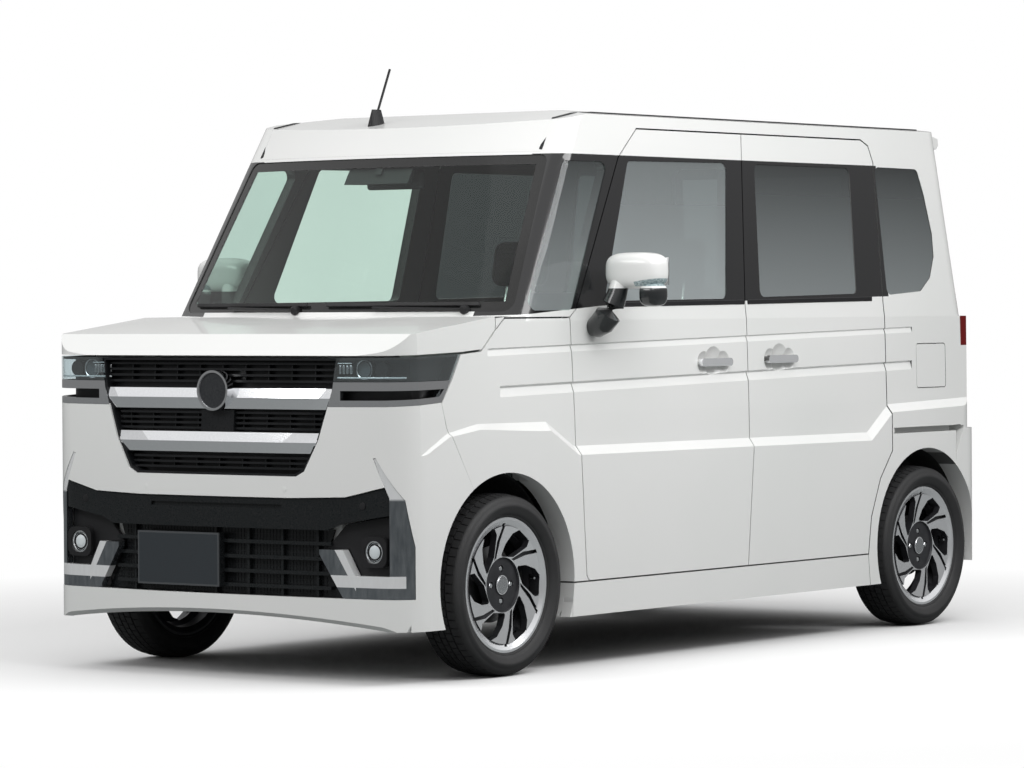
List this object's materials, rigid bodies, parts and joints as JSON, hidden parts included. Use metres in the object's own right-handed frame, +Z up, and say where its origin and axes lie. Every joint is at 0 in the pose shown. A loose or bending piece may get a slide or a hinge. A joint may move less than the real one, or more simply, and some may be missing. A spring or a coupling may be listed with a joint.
{
  "type": "kei car",
  "caption": "Tall boxy kei wagon with sliding rear doors, a wide bright grille and alloy wheels",
  "frame": {"origin": "on the ground under the middle of the car", "axes": "+Z up, +Y towards the tail along the car's length, +X towards the car's left side"},
  "size_m": [1.896, 3.395, 1.9157],
  "materials": {
    "pearl_white": "pearl white body paint, clear-coated",
    "body_shell_paint": "pearl white shell with black pillar garnish",
    "gloss_black": "gloss black moulding",
    "grille_black": "black grille with fine slats",
    "chrome_trim": "bright satin chrome trim",
    "lamp_glass": "smoked clear lamp lens",
    "tail_lamp": "dark red lamp lens",
    "fog_panel": "black lamp panel",
    "screen_glass": "green tinted laminated glass",
    "privacy_glass": "dark privacy glass",
    "cabin_plastic": "grained black moulding",
    "floor_sheet": "black underbody sheet",
    "liner_plastic": "black moulded liner",
    "seat_fabric": "dark woven seat cloth",
    "tyre_rubber": "road tyre",
    "rim_alloy": "machined face with dark painted pockets",
    "chassis_steel": "black painted steel",
    "brake_iron": "cast iron and black steel",
    "engine_alloy": "cast alloy block",
    "exhaust_steel": "dull stainless steel"
  },
  "bodies": {
    "body": {"body_shell": "body_shell_paint", "floor_pan": "floor_sheet", "roof_panel": "pearl_white", "front_fenders": "pearl_white", "front_bumper": "pearl_white", "bumper_grille": "gloss_black", "radiator_grille": "grille_black", "grille_bars": "chrome_trim", "corner_trims": "chrome_trim", "fog_lamps": "fog_panel", "headlamps": "lamp_glass", "lamp_units": "fog_panel", "rear_bumper": "pearl_white", "rear_lamps": "tail_lamp", "sill_skirts": "pearl_white", "sliding_door_left": "pearl_white", "sliding_door_right": "pearl_white", "windscreen": "screen_glass", "side_glass": "privacy_glass", "wheel_liners": "liner_plastic", "dashboard": "cabin_plastic", "front_seats": "seat_fabric", "rear_seat": "seat_fabric", "interior_mirror": "gloss_black", "engine": "engine_alloy", "radiator": "engine_alloy", "fuel_tank": "liner_plastic", "exhaust": "exhaust_steel", "rear_axle": "chassis_steel", "front_suspension": "chassis_steel", "antenna": "gloss_black"},
    "door_left": {"door_front_left": "pearl_white", "door_glass_left": "screen_glass", "mirror_left": "pearl_white"},
    "door_right": {"door_front_right": "pearl_white", "door_glass_right": "screen_glass", "mirror_right": "pearl_white"},
    "tailgate_body": {"tailgate": "pearl_white", "tailgate_glass": "privacy_glass"},
    "bonnet_body": {"bonnet": "pearl_white"},
    "fuel_flap_body": {"fuel_flap": "pearl_white"},
    "steering_wheel_body": {"steering_wheel": "cabin_plastic"},
    "knuckle_left_body": {"knuckle_left": "brake_iron"},
    "knuckle_right_body": {"knuckle_right": "brake_iron"},
    "wheel_front_left": {"rim_front_left": "rim_alloy", "tyre_front_left": "tyre_rubber"},
    "wheel_front_right": {"rim_front_right": "rim_alloy", "tyre_front_right": "tyre_rubber"},
    "wheel_rear_left": {"rim_rear_left": "rim_alloy", "tyre_rear_left": "tyre_rubber"},
    "wheel_rear_right": {"rim_rear_right": "rim_alloy", "tyre_rear_right": "tyre_rubber"}
  },
  "joints": [
    {"name": "door_left_hinge", "type": "hinge", "parent": "body", "child": "door_left", "pos_m": [0.735, -0.765, 0.7], "axis": [0, 0, -1], "range_deg": [0, 65]},
    {"name": "door_right_hinge", "type": "hinge", "parent": "body", "child": "door_right", "pos_m": [-0.735, -0.765, 0.7], "axis": [0, 0, 1], "range_deg": [0, 65]},
    {"name": "tailgate_hinge", "type": "hinge", "parent": "body", "child": "tailgate_body", "pos_m": [0, 1.549, 1.761], "axis": [1, 0, 0], "range_deg": [0, 82]},
    {"name": "bonnet_hinge", "type": "hinge", "parent": "body", "child": "bonnet_body", "pos_m": [0, -1.2, 1.105], "axis": [-1, 0, 0], "range_deg": [0, 50]},
    {"name": "fuel_flap_hinge", "type": "hinge", "parent": "body", "child": "fuel_flap_body", "pos_m": [0.717, 1.271, 0.916], "axis": [0, 0, -1], "range_deg": [0, 110]},
    {"name": "steer_left", "type": "hinge", "parent": "body", "child": "knuckle_left_body", "pos_m": [0.6, -1.1485, 0.19], "axis": [-0.1414, 0, 0.99], "range_deg": [-35, 35]},
    {"name": "steer_right", "type": "hinge", "parent": "body", "child": "knuckle_right_body", "pos_m": [-0.6, -1.1485, 0.19], "axis": [0.1414, 0, 0.99], "range_deg": [-35, 35]},
    {"name": "steering_column", "type": "hinge", "parent": "body", "child": "steering_wheel_body", "pos_m": [-0.325, -0.7, 0.905], "axis": [0, 0.9063, 0.4226], "range_deg": [-525, 525]},
    {"name": "spin_front_left", "type": "hinge", "parent": "knuckle_left_body", "child": "wheel_front_left", "pos_m": [0.6475, -1.1485, 0.281], "axis": [1, 0, 0], "continuous": true},
    {"name": "spin_front_right", "type": "hinge", "parent": "knuckle_right_body", "child": "wheel_front_right", "pos_m": [-0.6475, -1.1485, 0.281], "axis": [1, 0, 0], "continuous": true},
    {"name": "spin_rear_left", "type": "hinge", "parent": "body", "child": "wheel_rear_left", "pos_m": [0.6475, 1.3115, 0.281], "axis": [1, 0, 0], "continuous": true},
    {"name": "spin_rear_right", "type": "hinge", "parent": "body", "child": "wheel_rear_right", "pos_m": [-0.6475, 1.3115, 0.281], "axis": [1, 0, 0], "continuous": true}
  ],
  "couplings": [
    {"joint": "steer_right", "follows": "steer_left", "ratio": 1},
    {"joint": "steering_column", "follows": "steer_left", "ratio": 15}
  ]
}
